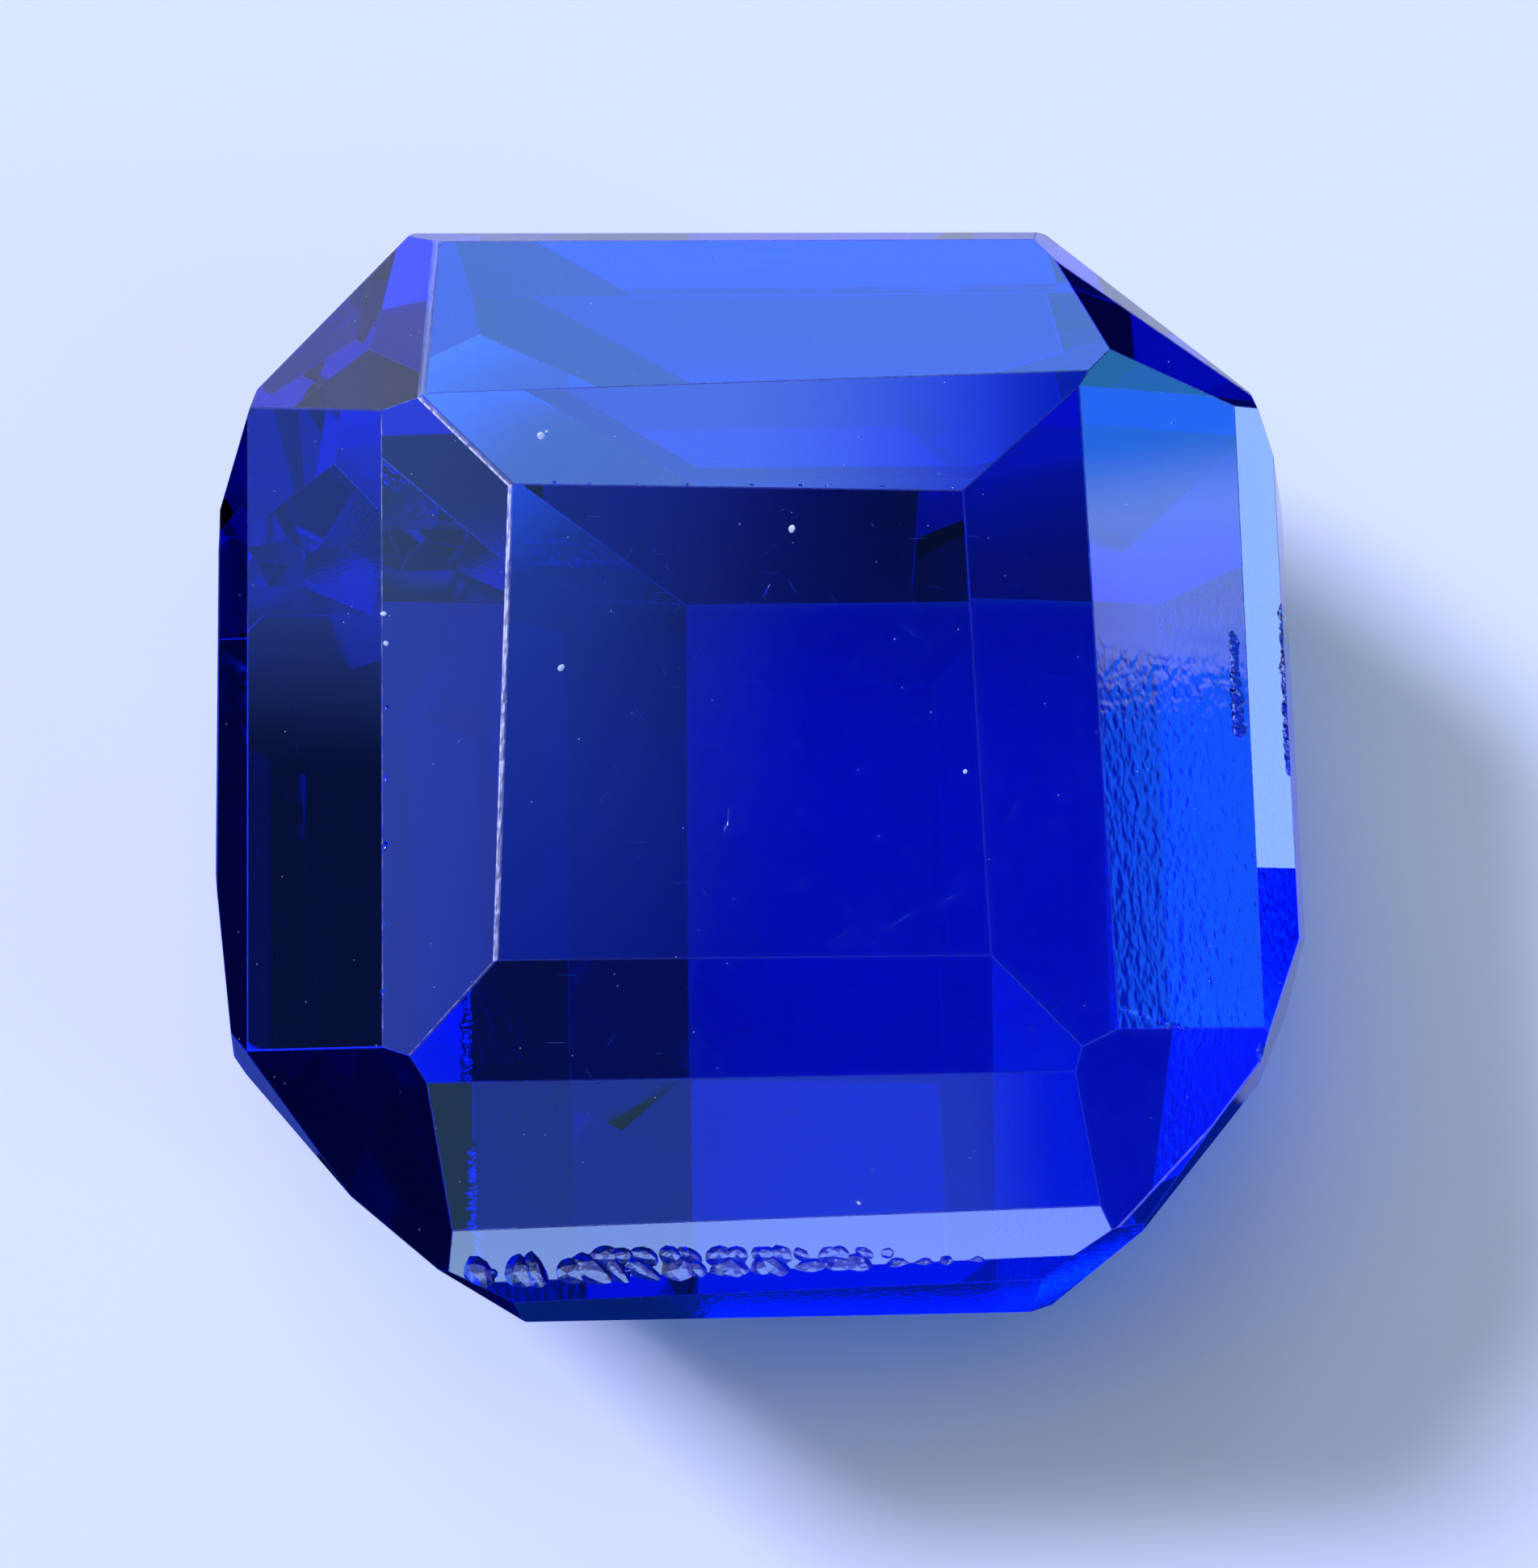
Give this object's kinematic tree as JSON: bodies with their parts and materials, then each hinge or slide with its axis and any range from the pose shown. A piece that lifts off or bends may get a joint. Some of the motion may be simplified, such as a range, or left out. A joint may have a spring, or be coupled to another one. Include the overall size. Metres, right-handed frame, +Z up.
{
  "type": "faceted blue sapphire",
  "caption": "Loose blue sapphire, an octagonal step cut with a square table, a stepped crown, a thick girdle and a steep off-centre pavilion that ends in a flat base facet.",
  "frame": {"origin": "On the base facet's plane, under the middle of the stone's outline seen from above.", "axes": "+Z points up out of the table and is the shortest extent. +Y is the far side in the picture (the top of the picture) and +X is its right."},
  "size_m": [0.02, 0.0204, 0.0132],
  "materials": {
    "sapphire": "polished, with worn facet edges"
  },
  "bodies": {
    "root": {"blue_sapphire": "sapphire"}
  },
  "joints": []
}
